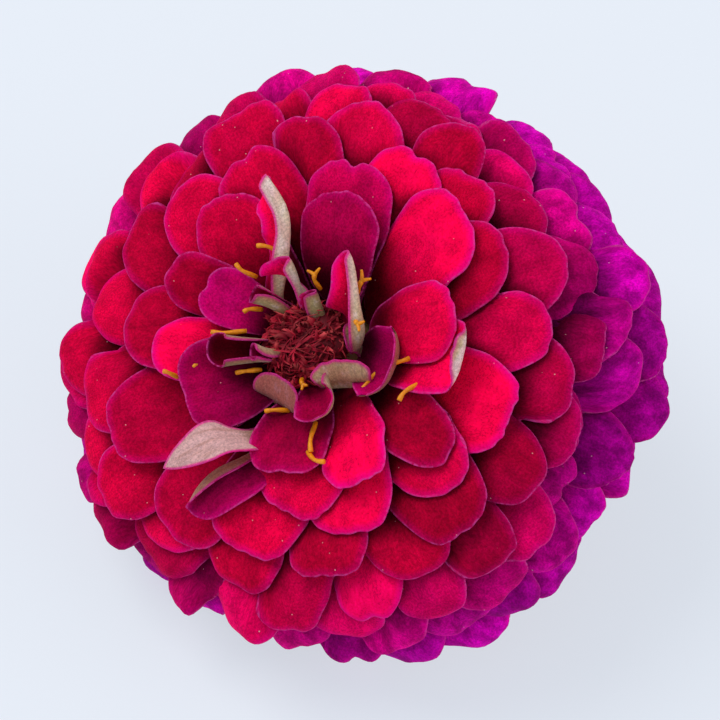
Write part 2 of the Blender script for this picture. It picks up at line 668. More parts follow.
# Stations: azimuth, radius, height, width, turn, left roll, right roll.
YOUNG_PETALS = [
    # tall, with its right side folded over its face and its tip rolled in
    Curled(
        (
            (150, 6.6, 16, 4, 0, -60, 150), (124, 8.6, 20.5, 6, 0, -80, 165),
            (99, 12, 24, 8, 0, -50, 170), (91.8, 15.2, 25.6, 6.6, 0, 5, 172),
            (91, 17.9, 26.6, 6.6, 0, 5, 178), (93.4, 20.5, 27.2, 7, 0, -10, 180),
            (96.6, 23.6, 27.8, 6.4, 0, -110, 178),
        ),
        widest=0.93, fold_from=0.0, fold_to=0.34, blunt=2.2, skew=0.18, light=0.95,
    ),
    # stands in front of it, folded down the middle and open at the tip
    Curled(
        (
            (110, 4.0, 17.5, 3, 0, -120, 150), (98, 5.2, 21, 4, 0, -120, 160),
            (93, 8, 23.6, 5, 0, -60, 165), (92.5, 9.8, 25.4, 7, 0, 0, 165),
            (94, 11.6, 26.6, 8.4, 0, 10, 160),
        ),
        widest=0.84, fold_from=0.0, fold_to=0.36, blunt=2.4, skew=0.35, age=0.12, light=0.7,
    ),
    # a little trumpet
    Curled(
        (
            (134, 6.4, 18.5, 5, 60, 150, 150), (136, 8.3, 22, 6, 60, 170, 165),
            (139, 10.6, 24, 7.6, 30, 160, 150),
        ),
        widest=0.97, fold_from=0.0, blunt=4, light=0.35,
    ),
    # small, folded over to the right
    Curled(
        (
            (59, 3.4, 19, 5, 0, 20, 120), (65, 5, 22, 6, 0, 20, 160),
            (69.6, 6.8, 24.2, 5, 0, 20, 165),
        ),
        widest=0.84, fold_from=0.0, fold_to=0.35, blunt=1.9, light=0.15,
    ),
    # tall and narrow, folded down the middle, with a broad foot
    Curled(
        (
            (351, 5.8, 19, 8, 0, -60, 120), (3, 7.6, 21.2, 10, 0, -60, 150),
            (18.2, 9.1, 23.8, 7.6, 0, 0, 165), (31.3, 10.9, 25.8, 5.6, 0, 20, 168),
            (40.7, 12.6, 27.2, 4.6, 0, 20, 160), (47.4, 13.8, 28.2, 2.8, 0, 10, 120),
        ),
        widest=0.86, fold_from=0.0, fold_to=0.44, blunt=1.8, heading=85, skew=0.25, light=0.85,
    ),
    # lean in over the disc with their backs up
    Curled(
        (
            (300, 8.4, 19.5, 6.5, 0, -10, -10), (305, 8.2, 22, 8.5, 0, -5, -5),
            (315, 6.7, 23.6, 9.5, 0, 10, 10),
        ),
        widest=0.62, blunt=2.6, heading=267, age=0.2, light=0.5,
    ),
    Curled(
        (
            (236, 10.4, 18.5, 5, 0, -10, -10), (234, 10, 21.4, 8, 0, -15, -10),
            (229, 7, 23.1, 8.5, 0, 0, 0),
        ),
        widest=0.6, blunt=2.4, age=0.5, light=0.1,
    ),
    # a boat with its end turned up; then a second little trumpet over its inner end
    Curled(
        (
            (182, 6.8, 17.5, 4, 0, 100, 100), (184, 10.2, 22, 8, 0, 135, 140),
            (182, 13.6, 23.2, 10, 0, 130, 135), (181, 16, 23.8, 10, 0, 115, 125),
        ),
        widest=0.72, fold_from=0.05, blunt=2.0, curl=70, light=-0.3,
    ),
    Curled(
        (
            (190, 5.6, 19.5, 4, -50, 150, 150), (189, 7, 22, 5.5, -50, 170, 165),
            (186, 8.5, 23.8, 6.6, -30, 160, 150),
        ),
        widest=0.97, fold_from=0.0, blunt=4, age=0.3, light=0.5,
    ),
    # a cup with its tip curled in and its right side standing tall
    Curled(
        (
            (262, 6.2, 18, 4, 0, 30, 30), (272, 8.6, 21.4, 8, 0, 90, 60),
            (278.5, 12, 23.6, 11, 0, 105, 80), (280, 14.4, 24.4, 10.5, 0, 95, 80),
        ),
        widest=0.74, fold_from=0.1, blunt=2.0, curl=65, skew=0.25, age=0.25, light=0.45,
    ),
    # a trough that opens towards the disc
    Curled(
        (
            (338, 6.8, 17.5, 5, 0, 40, 40), (335, 10.6, 20, 11, 0, 60, 60),
            (332, 14.4, 21.8, 14, 0, 70, 75), (331, 16.2, 23.8, 13, 0, 70, 80),
        ),
        widest=0.74, fold_from=0.1, blunt=2.0, curl=45, age=0.45, light=0.35,
    ),
    # broad and open, with a notched edge; then the smallest, at the edge of the disc
    Curled(
        (
            (147, 6.4, 15.3, 3, 0, 0, 0), (147, 11, 21.6, 8, 0, 10, 10),
            (147, 18, 24, 10.5, 0, 15, 10),
        ),
        widest=0.72, blunt=2.3, notch=0.6, age=0.44, light=0.32,
    ),
    Curled(
        (
            (350, 6.4, 17.5, 4, 0, 0, 0), (354, 6.6, 20.4, 4.4, 0, 20, 20),
            (348, 5.8, 22, 4, 0, 30, 30),
        ),
        widest=0.7, age=0.1, light=0.2,
    ),
]

FACE_PETALS = [
    Petal(66, 22, 12.4, age=0.3, light=0.2),
    Petal(257, 21.5, 11.5, right=30, fold_from=0.55, age=0.22, light=0.12),
    Petal(200, 21.5, 13, right=25, left=-15, age=0.38, light=0),
    Petal(176, 25.5, 10, light=1),
    Petal(289, 24.7, 10, light=1),
    Petal(358, 25, 11, light=0.55),
    Petal(148, 28.5, 10, light=0.12),
    Petal(122, 32, 12, light=0.4),
    Petal(263, 29.5, 14, light=0.5),
    # its tip curls back over its face
    Petal(
        343, 33.5, 11, rise=1, left=15, right=45, fold_from=0.2, curl=128, curl_from=0.8,
        ripple=0.3, wild=0.2, light=0.95,
    ),
    Petal(314, 33.5, 10, left=-12, right=60, fold_from=0.3, blunt=1.8, light=0.15),
    Petal(67, 31.5, 13, age=0.26, light=0.42),
    # turned over, so that its back lies uppermost
    Curled(
        (
            (239, 11.4, 15, 4, 120, 0, 0), (237.3, 15.8, 20, 4.5, 160, 0, 0),
            (232.7, 17.6, 24.6, 5.4, 175, -10, -20), (225.6, 19.5, 27.3, 7, 180, -10, -25),
            (222, 22.8, 28, 5.4, 180, -10, -15), (218.4, 27.2, 27.6, 1.6, 180, 0, 0),
        ),
        widest=0.62, fold_from=0.1, blunt=1.25, age=0.38, light=0.75,
    ),
    Petal(29, 34.7, 14.5, light=0.92),
    Petal(281, 36, 13, light=0.75),
    # its upper side folded over
    Curled(
        (
            (236, 8, 14, 4, 0, 0, 60), (240, 14, 18.5, 5, 0, 0, 120),
            (241.4, 18.5, 21, 6.5, 0, -10, 160), (238.6, 21.1, 22.8, 8, 0, -10, 165),
            (234.3, 24, 24, 8.4, 0, -10, 165), (232.4, 27.1, 24.3, 7.4, 0, 0, 140),
            (230.7, 30.3, 23.8, 3, 0, 0, 80),
        ),
        widest=0.75, fold_from=0.4, fold_to=0.62, blunt=2, age=0.42, light=0.2,
    ),
    Petal(309, 39.5, 12, light=0.5),
    Petal(52, 38.4, 13, light=0.95),
    Petal(168, 37, 13, light=0.25),
    Petal(104, 37.5, 12.5, light=0.4),
    Petal(15, 39.5, 13.5, light=0.3),
    Petal(127, 41, 13, light=0.5),
    Petal(34, 43.5, 12.5, light=0.45),
    Petal(247, 41, 14, light=0.58),
    Petal(331, 43.5, 14, light=0.88),
    Petal(197, 42, 14, light=0.3),
    Petal(90, 43, 13, light=0.25),
    Petal(268, 45, 13, light=0.2),
    Petal(71, 46.8, 13, light=0.5),
    Petal(354, 47, 13.5, light=0.45),
    Petal(9, 51, 13.5, light=0.32),
    Petal(227, 48, 14, light=0.3),
    Petal(46, 50.5, 13, light=0.25),
    Petal(305, 49.5, 14, light=0),
]

# Whorls of outer petals: azimuth, tip and sometimes light where they are placed singly,
# then even rings.
WHORL_1 = [
    (24, 56, 0.2), (60, 56, 0.2), (82, 56), (105, 53), (120, 50), (142, 49), (161, 50),
    (183, 50, 0.46), (207, 53, 0.42), (244, 55), (290, 54), (322, 57, 0), (343, 55, 0.3),
]
WHORL_2 = [
    (8, 62.5, 0.2), (35, 61), (53, 61.5), (72, 60), (96, 60), (129, 58, 0.6), (152, 58, 0.45),
    (173, 58), (195, 60), (222, 58), (256, 60), (277, 61, 1), (300, 62, 0), (333, 63),
    (353, 61.5, 0.1),
]
RINGS = [(20, 69), (6, 78), (18, 87), (4, 96), (15, 106)]  # first azimuth and tip
PETALS_A_RING = 16
WHORL_BASES = [5.6, 4, 2.2, 0.2, -1.8, -3.8, -6.0]  # mm: heights at which the whorls grow
WHORL_SPACING = 3.9  # mm between whorls where they hang over the table
RESTING_SPREAD = 0.7  # cosine of how far round the low side petals may lie on the table
WHORL_ROOT = 0.75  # mm from the receptacle to their claws
SINGLE_WIDTH, RING_WIDTH = 13.5, 13.6  # mm: petals placed singly, and in even rings
LOWEST_LIFT = 0.5  # mm between the table and the petals that lie on it
CROWDED_SIDE = 25  # azimuth in degrees


def lowest_height(petal, shape):
    """Height of a petal's lowest point above the table, in mm."""
    line = petal_midline(petal, shape)
    azimuth = math.radians(petal.azimuth)
    spread = np.linspace(-petal.width / 2, petal.width / 2, 5)[None, :]
    tail = line[-24:]
    direction = np.array([math.cos(azimuth), math.sin(azimuth), 0])
    side = np.array([-math.sin(azimuth), math.cos(azimuth), 0])
    points = (
        tail[:, None, :1] * direction
        + tail[:, None, 1:] * np.array([0, 0, 1.0])
        + spread[..., None] * side * 0.8
    )
    return to_world(points.reshape(-1, 3))[:, 2].min()


def rested(petal, shape, lift):
    """The petal bent until it clears the table, or lies on it where it is the lowest."""
    low_side = math.atan2(AXIS.y, AXIS.x)
    faces_table = math.cos(math.radians(petal.azimuth) - low_side) > RESTING_SPREAD
    while lowest_height(petal, shape) < lift:
        petal = replace(petal, tip=petal.tip - 0.4)
    while lift < 1 and faces_table and lowest_height(petal, shape) > lift + 0.3:
        petal = replace(petal, tip=petal.tip + 0.4)
    return petal


# The bloom grew lopsided: how much farther its outer petals reach, by azimuth, in mm.
EXTRA_REACH = (3.4, -2, -1, 0.8, 1.8, 5, 3.8, 3.6, -0.6, 0.6, 0.4, -0.8)


def extra_reach(azimuth, tip):
    """How much farther a petal reaches, which sets in half way down the dome."""
    return float(smooth(40, 68, tip) * by_azimuth(EXTRA_REACH, azimuth))


def whorl_petals(index, shape):
    """The petals of one whorl: placed singly in the upper two, in even rings below them."""
    base = {"base": WHORL_BASES[index], "root": WHORL_ROOT}
    if index < 2:
        looks = {"ripple": 1.5, "puff": 0.9, "wild": 1.3, **base}
        return [
            Petal(
                azimuth, tip, SINGLE_WIDTH,
                reach=extra_reach(azimuth, tip), light=(*light, None)[0], **looks,
            )
            for azimuth, tip, *light in (WHORL_1, WHORL_2)[index]
        ]
    first, tip = RINGS[index - 2]
    lift = LOWEST_LIFT + (len(WHORL_BASES) - 1 - index) * WHORL_SPACING
    looks = {"ripple": 2.0, "puff": 1.2, "wild": 1.7, **base}
    petals = []
    for azimuth in first + np.arange(PETALS_A_RING) * 360 / PETALS_A_RING:
        # the petals above stand closer over these on the crowded side
        crowded = float(smooth(0.5, 1, math.cos(math.radians(azimuth - CROWDED_SIDE))))
        reach = extra_reach(azimuth, tip)
        shelter = 0.62 + 0.26 * crowded
        petal = Petal(azimuth, tip, RING_WIDTH, reach=reach, shelter=shelter, **looks)
        petals.append(rested(petal, shape, lift))
    return petals


def vary(petal, rng):
    """Small differences that every petal grows with, larger in the crowded outer whorls."""
    wild = petal.wild
    return replace(
        petal,
        width=petal.width * rng.uniform(0.93, 1.08),
        reach=petal.reach + rng.normal(0.4, 0.6) * wild,
        rise=petal.rise + rng.normal(0, 0.2) * wild,
        twist=petal.twist + rng.normal(0, 3.0) * wild,
        sway=petal.sway + rng.normal(0, 1.2) * wild,
        curl=petal.curl + rng.normal(-2, 5) * wild,
        notch=petal.notch + max(0, rng.normal(0, 0.45)) * wild,
        left=petal.left + rng.normal(0, 9) * wild,
        right=petal.right + rng.normal(0, 9) * wild,
        blunt=petal.blunt + rng.uniform(-0.15, 0.3),
        cup=petal.cup + rng.normal(0.0, 0.012),
    )


# ---- the middle of the bloom ------------------------------------------------------------

DISC_RADIUS = 5.1
DISC_BASE = 18.9
DISC_TOP = 22.0
SCALES = 520
SCALE_FIELD = 6.2  # mm radius over which the dry scales stand
SCALE_DRIFT = np.array([-1.1, -0.2, 0])  # they have blown over to one side
GOLDEN_ANGLE = math.radians(137.508)

# The styles: azimuth, radius, height of the middle, heading, length, and fork in degrees,
# which is 0 where the fork is shut.
STYLES = [
    (107, 13.8, 25.5, 158, 3.4, 0), (127, 13.9, 24.5, 140, 3.0, 0), (148, 10.2, 22.5, 190, 2.2, 0),
    (168, 12.4, 24.0, 178, 4.6, 0), (76, 8.7, 23.0, 90, 2.6, 80), (46, 11.0, 25.5, 120, 4.0, 0),
    (32, 11.3, 24.5, 40, 3.4, 60), (3, 8.3, 24.0, -35, 2.6, 50), (200, 10.4, 23.0, 186, 3.2, 0),
    (257, 6.6, 22.0, -60, 2.0, 30), (317, 11.2, 21.5, 232, 4.4, 0), (339, 15.4, 23.0, 200, 2.6, 0),
    (325, 18.6, 24.5, 225, 3.4, 0), (238, 11.5, 22.0, 180, 3.0, 0), (270, 14.9, 23.5, 268, 4.6, 0),
    (273, 17.9, 24.8, -32, 4.0, 0), (187, 16.8, 24.5, 190, 1.4, 0), (187, 21.3, 25.0, 150, 1.8, 0),
]


def ribbon(rng, start, direction, lean, length, width, curl, twist, steps=9):
    """Middle surface of a dry scale: a narrow strip that curls towards lean and ends torn."""
    share = np.linspace(0, 1, steps + 1)
    direction = direction / np.linalg.norm(direction)
    side = np.cross(direction, lean)
    side /= np.linalg.norm(side)
    face = np.cross(side, direction)
    bend = curl * share**1.5
    heading = np.cos(bend)[:, None] * direction + np.sin(bend)[:, None] * face
    middle = start + np.concatenate([[np.zeros(3)], np.cumsum(heading[1:] * length / steps, axis=0)])
    out = np.cos(bend)[:, None] * face - np.sin(bend)[:, None] * direction
    turn = (twist * share)[:, None]
    across = np.cos(turn) * side + np.sin(turn) * out
    normal = np.cos(turn) * out - np.sin(turn) * side
    lane = np.linspace(-1, 1, 5)
    breadth = width / 2 * (0.55 + 0.45 * np.sin(np.pi * np.clip(share * 1.1, 0, 1)))
    breadth = breadth * (1 + 0.18 * np.sin(share * 17 + rng.uniform(0, 6)))
    torn = np.zeros((steps + 1, 5))
    torn[-1] = rng.uniform(-0.16, 0.22, 5) * length
    torn[-2] = torn[-1] * 0.4
    x = breadth[:, None] * lane
    point = middle[:, None] + x[..., None] * across[:, None] + torn[..., None] * heading[:, None]
    point = point + (0.25 * width * (lane**2)[None, :, None]) * normal[:, None]
    normal = np.broadcast_to(normal[:, None], point.shape)
    y = share[:, None] * length + torn
    return point, surface_normals(point, normal), x, y, np.broadcast_to(share[:, None], x.shape)


def disc_scales(rng):
    """The spent disc: a low dome crowded with dry, torn scales."""
    parts = MeshParts()
    dome(parts, DISC_RADIUS, DISC_BASE, DISC_TOP, 0.35, rng)
    for k in range(SCALES):
        radius = SCALE_FIELD * math.sqrt((k + 0.5) / SCALES)
        azimuth = k * GOLDEN_ANGLE
        out = np.array([math.cos(azimuth), math.sin(azimuth), 0])
        around = np.array([-out[1], out[0], 0])
        far = radius / SCALE_FIELD
        height = DISC_TOP - 2.6 * far**2
        start = out * min(radius, DISC_RADIUS - 0.3) + SCALE_DRIFT * (0.6 + far)
        start = start + np.array([0, 0, height - 0.7])
        width = rng.choice([0.25, 0.45, 0.8, 1.4], p=[0.32, 0.3, 0.23, 0.15]) * rng.uniform(0.8, 1.15)
        matted = width < 0.6 and rng.random() < 0.75
        stray = rng.normal(0, 0.55) + rng.choice([0, np.pi])
        across = np.array([math.cos(stray), math.sin(stray), 0])
        if matted:
            direction = across + out * 0.5 * far + np.array([0, 0, rng.uniform(0.05, 0.4)])
            lean = np.array([0, 0, 1]) + rng.normal(0, 0.3, 3)
            start = start + np.array([0, 0, rng.uniform(0.3, 1.0)]) - across * 1.2
            length, curl = rng.uniform(3.0, 5.0) * (1.1 - 0.35 * far), rng.uniform(-1.5, 0.2)
        else:
            direction = out * 1.2 * far**1.3 + around * rng.normal(0, 0.4) + across * 0.9 * (1 - far)
            direction = direction + np.array([-0.15, -0.05, 0.45]) + rng.normal(0, 0.22, 3)
            lean = rng.normal(size=3)
            length, curl = rng.uniform(2.0, 3.6) * (1.1 - 0.3 * far), rng.uniform(0.6, 2.6)
        point, normal, x, y, share = ribbon(
            rng, start, direction, lean, length, width, curl, rng.normal(0, 1.2)
        )
        gap = np.full_like(x, 3.0)
        add_sheet(parts, point, normal, x, y, share, gap, 0.09, rng.random(), rng.random(), share)
    return parts


def hoop_faces(hoops, sides):
    """Quads between stacked hoops of points, and triangles to one point at either end."""
    at = np.arange(hoops * sides).reshape(hoops, sides)
    follow = np.roll(at, -1, axis=1)
    quads = np.stack([at[:-1], follow[:-1], follow[1:], at[1:]], -1).reshape(-1, 4)
    caps = [(follow[0, k], at[0, k], hoops * sides) for k in range(sides)]
    caps += [(at[-1, k], follow[-1, k], hoops * sides + 1) for k in range(sides)]
    return quads, np.array(caps)


def dome(parts, radius, low, high, lumps, rng, rings=14, sides=60):
    """A closed dome whose skin is uneven by the height of its lumps."""
    uneven = Wobble(rng, 5)
    angle = np.linspace(0, 2 * np.pi, sides, endpoint=False)
    climb = np.linspace(0, np.pi / 2, rings)[:-1]
    r = radius * np.cos(climb)[:, None] * np.ones(sides)
    z = low + (high - low) * np.sin(climb)[:, None] * np.ones(sides)
    x, y = r * np.cos(angle), r * np.sin(angle)
    grow = 1 + lumps / radius * uneven(1.5 * x, 1.5 * y)
    points = np.stack([x * grow, y * grow, z], -1).reshape(-1, 3)
    points = np.vstack([points, [[0, 0, low], [0, 0, high]]])
    parts.add_solid(points, *hoop_faces(rings - 1, sides), (0.2, 0.2, 1, 0.1))


def add_tube(parts, path, radii, age, light, sides=8):
    """A closed round tube along a path of points."""
    step = np.gradient(path, axis=0)
    step /= np.linalg.norm(step, axis=1, keepdims=True)
    aside = np.cross(step[0], [0.3, 0.2, 0.9])
    rings = []
    for point, heading, radius in zip(path, step, radii):
        aside = aside - (aside @ heading) * heading
        aside = aside / np.linalg.norm(aside)
        other = np.cross(heading, aside)
        angle = np.linspace(0, 2 * np.pi, sides, endpoint=False)[:, None]
        rings.append(point + radius * (np.cos(angle) * aside + np.sin(angle) * other))
    points = np.vstack([*rings, path[:1], path[-1:]])
    tone = np.tile([age, 0, 1, light], (len(points), 1))
    tone[:, 1] = np.concatenate([np.repeat(np.linspace(0, 1, len(path)), sides), [0, 1]])
    parts.add_solid(points, *hoop_faces(len(path), sides), tone)


def forked_styles(rng):
    """Orange styles that stand out between the petals, a few of them with an open fork."""
    parts = MeshParts()
    for azimuth, radius, height, heading, length, fork in STYLES:
        a, h = math.radians(azimuth), math.radians(heading)
        middle = np.array([radius * math.cos(a), radius * math.sin(a), height])
        ahead = np.array([math.cos(h), math.sin(h), 0.12])
        aside = np.array([-math.sin(h), math.cos(h), 0])
        share = np.linspace(0, 1, 12)[:, None]
        foot = middle - ahead * length * 0.55 - np.array([0, 0, 1.6])
        bow = np.sin(share * np.pi) * (0.5 * np.array([0, 0, 1]) + rng.normal(0, 0.35) * aside)
        trunk = foot + share**0.8 * (middle + ahead * length * (0.1 if fork else 0.45) - foot) + bow
        add_tube(parts, trunk, 0.33 + 0.05 * np.sin(share[:, 0] * 9), 0.5, rng.random())
        if not fork:
            continue
        for sign in (-1, 1):
            turn = math.radians(fork / 2) * sign
            out = math.cos(turn) * ahead + math.sin(turn) * aside
            arm = trunk[-1] + share * out * length * 0.4 + share**2 * sign * aside * 0.35
            arm = arm + share**2 * np.array([0, 0, 0.25])
            add_tube(parts, arm, 0.31 * (1 - 0.45 * share[:, 0] ** 2), 0.8, rng.random())
    return parts


# ---- bracts and stem ----------------------------------------------------------------------

# Rows of bracts: count, height of the base, radius and height of the tip, width, first azimuth.
BRACT_ROWS = {
    "upper": (10, -9.2, 15.0, -8.9, 6.6, 0),
    "middle": (8, -10.8, 12.6, -11.1, 6.6, 15),
    "lower": (7, -12.3, 9.6, -13.2, 5.6, 5),
}
BRACT_THICKNESS = 0.5
BRACT_VEINS = 8  # mm along a bract, as its material's veins count it
STEM_PROFILE = ((STEM_END, STEM_RADIUS), (-22, 2.35), (-17, 2.7), (STEM_TOP, 3.55))  # height, radius
STEM_RIBS = 9
RIB_DEPTH = 0.14  # mm
BRISTLES = 240


def foot_radius(height):
    """Radius of the receptacle's foot, which the bracts clothe."""
    return core_radius(height, CORE_FOOT, CORE_WIDEST)


def bracts(row, rng):
    """One row of overlapping bracts with ragged edges, joined to a ring."""
    count, ring, tip_r, tip_z, width, first = row
    parts = MeshParts()
    ring_of(parts, ring, 0.5, 1.25)
    for k in range(count):
        azimuth = math.radians(first + k * 360 / count + rng.normal(0, 2))
        out = np.array([math.cos(azimuth), math.sin(azimuth), 0])
        side = np.array([-out[1], out[0], 0])
        t = np.linspace(0, 1, 25)[:, None]
        lane = np.linspace(-1, 1, 17)[None, :]
        shape = np.interp(t, [0, 0.35, 0.7, 0.9, 1], [0.72, 0.95, 0.92, 0.62, 0.3])
        x = lane * shape * width / 2 * rng.uniform(0.94, 1.06)
        fringe = rng.uniform(-0.16, 0.16, 17)[None, :] * t**8
        reach = t - 0.05 * lane**2 * t**2 + 0.35 * fringe
        start = foot_radius(ring) + 0.8
        r = start + (tip_r - start) * reach
        z = ring + (tip_z - ring) * t - 0.55 * np.sin(np.pi * t) + 0.5 * lane**2 + 0.3 * t**3
        point = r[..., None] * out + x[..., None] * side + z[..., None] * np.array([0, 0, 1.0])
        normal = surface_normals(point, np.broadcast_to([0, 0, -1.0], point.shape))
        gap = np.minimum((1 - np.abs(lane)) * width / 2, (1 - t) * (tip_r - start))
        share = np.broadcast_to(t, x.shape)
        age, light = rng.random(2)
        place = share * BRACT_VEINS
        add_sheet(parts, point, normal, x, place, share, gap, BRACT_THICKNESS, age, light, share)
    return parts


def ring_of(parts, middle, half, wall, sides=48):
    """A short ring round the foot of the receptacle, under the bracts."""
    angle = np.linspace(0, 2 * np.pi, sides, endpoint=False)
    inner, outer = 0.3, wall
    lower = [(inner, -half), (outer - 0.2, -half), (outer, -half / 2)]
    outline = lower + [(dr, -dz) for dr, dz in reversed(lower)]
    points = np.array(
        [
            [(foot_radius(z) + dr) * math.cos(a), (foot_radius(z) + dr) * math.sin(a), z]
            for dr, z in [(dr, middle + dz) for dr, dz in outline]
            for a in angle
        ]
    )
    at = np.arange(len(outline) * sides).reshape(len(outline), sides)
    next_hoop, follow = np.roll(at, -1, axis=0), np.roll(at, -1, axis=1)
    quads = np.stack([at, follow, np.roll(next_hoop, -1, axis=1), next_hoop], -1).reshape(-1, 4)
    parts.add_solid(points, quads, [], (0.5, 0, 1, 0.5))


def stem_solid(rng):
    """Ribbed stem, cut off level with the table, with short bristles."""
    parts = MeshParts()
    sides, rows = 72, 40
    angle = np.linspace(0, 2 * np.pi, sides, endpoint=False)
    up = TURN.T @ np.array([0, 0, 1.0])
    heights, widths = zip(*STEM_PROFILE)

    def skin(share, a, lift=0.0):
        low = STEM_END - (up[0] * np.cos(a) + up[1] * np.sin(a)) / up[2] * STEM_RADIUS
        z = low + (STEM_TOP - low) * share
        ribs = RIB_DEPTH * np.abs(np.sin(a * STEM_RIBS / 2)) * np.clip(1.4 - share, 0.3, 1)
        r = np.interp(z, heights, widths) - 0.1 + ribs + lift
        return np.stack([r * np.cos(a), r * np.sin(a), z], -1)

    share = np.linspace(0, 1, rows)[:, None]
    grid = skin(share, angle[None, :] * np.ones((rows, 1)))
    points = np.vstack([grid.reshape(-1, 3), grid[0].mean(0), grid[-1].mean(0)])
    parts.add_solid(points, *hoop_faces(rows, sides), (0.5, 0.5, 1, 0.5), cap_slot=1)
    for _ in range(BRISTLES):
        a, t = rng.uniform(0, 2 * np.pi), rng.uniform(0.06, 0.97)
        root = skin(np.array(t), np.array(a), -0.05)
        out = np.array([math.cos(a), math.sin(a), 0]) + rng.normal(0, 0.25, 3)
        path = root + np.linspace(0, 1, 4)[:, None] * out * rng.uniform(0.5, 1.1)
        path = off_the_table(path, 0.1)
        add_tube(parts, path, np.array([0.05, 0.04, 0.025, 0.006]), 0.9, rng.random(), sides=4)
    return parts


# ---- materials ------------------------------------------------------------------------


def add_node(tree, kind, inputs=None, **settings):
    """Adds a node, sets it up, and gives each input a value or a link."""
    made = tree.nodes.new(kind)
    for name, value in settings.items():
        setattr(made, name, value)
    for name, value in (inputs or {}).items():
        if isinstance(value, bpy.types.NodeSocket):
            tree.links.new(value, made.inputs[name])
        else:
            made.inputs[name].default_value = value
    return made


def new_material(name):
    material = bpy.data.materials.new(name)
    material.use_nodes = True
    material.node_tree.nodes.clear()
    return material, material.node_tree


def finished(material, sockets):
    """The material with one Principled surface whose sockets take these values and links."""
    tree = material.node_tree
    shader = add_node(tree, "ShaderNodeBsdfPrincipled", sockets)
    add_node(tree, "ShaderNodeOutputMaterial", {"Surface": shader.outputs[0]})
    return material


def rgba(value):
    return (*value, 1.0)


def maths(tree, operation, a, b, clamp=False):
    made = add_node(tree, "ShaderNodeMath", {0: a, 1: b}, operation=operation, use_clamp=clamp)
    return made.outputs[0]


def product(tree, value, *factors):
    """All of these multiplied together."""
    for factor in factors:
        value = maths(tree, "MULTIPLY", value, factor)
    return value


def spread(tree, value, low, high, start=0.0, end=1.0):
    """value carried from low..high to start..end, smoothly and clamped."""
    inputs = {"Value": value, "From Min": low, "From Max": high, "To Min": start, "To Max": end}
    return add_node(tree, "ShaderNodeMapRange", inputs, interpolation_type="SMOOTHSTEP").outputs[0]


def blend(tree, factor, a, b, mode="MIX"):
    """Colour a carried towards colour b, each a socket or three linear numbers."""
    a, b = (c if isinstance(c, bpy.types.NodeSocket) else (*c, 1.0) for c in (a, b))
    inputs = {0: factor, 6: a, 7: b}
    return add_node(tree, "ShaderNodeMix", inputs, data_type="RGBA", blend_type=mode).outputs[2]


def darkened(tree, base, depth):
    """A colour made darker below a depth of 1, and brighter above it."""
    shade = add_node(tree, "ShaderNodeCombineColor", {0: depth, 1: depth, 2: depth}).outputs[0]
    return blend(tree, 1.0, base, shade, "MULTIPLY")


def stretched(tree, vector, scale):
    return add_node(tree, "ShaderNodeMapping", {"Vector": vector, "Scale": scale}).outputs[0]


def noise(tree, place, waves, detail=2.0, roughness=0.5):
    """Cloudy noise with so many waves to a unit of place in each direction."""
    inputs = {"Vector": stretched(tree, place, waves), "Scale": 1.0}
    inputs |= {"Detail": detail, "Roughness": roughness}
    return add_node(tree, "ShaderNodeTexNoise", inputs).outputs[0]


def bumps(tree, height, distance, strength):
    inputs = {"Height": height, "Distance": distance, "Strength": strength}
    return add_node(tree, "ShaderNodeBump", inputs).outputs[0]


def blade_coordinates(tree):
    """What a piece's mesh says of each place: four tones, then mm across and along it.

    The tones are age, how open it lies (on scales and styles, share of length), distance from
    the edge, and light.
    """
    tone = add_node(tree, "ShaderNodeAttribute", attribute_name="petal_tone")
    place = add_node(tree, "ShaderNodeAttribute", attribute_name="petal_place")
    parts = add_node(tree, "ShaderNodeSeparateColor", {0: tone.outputs["Color"]})
    return *parts.outputs, tone.outputs["Alpha"], place.outputs["Vector"]


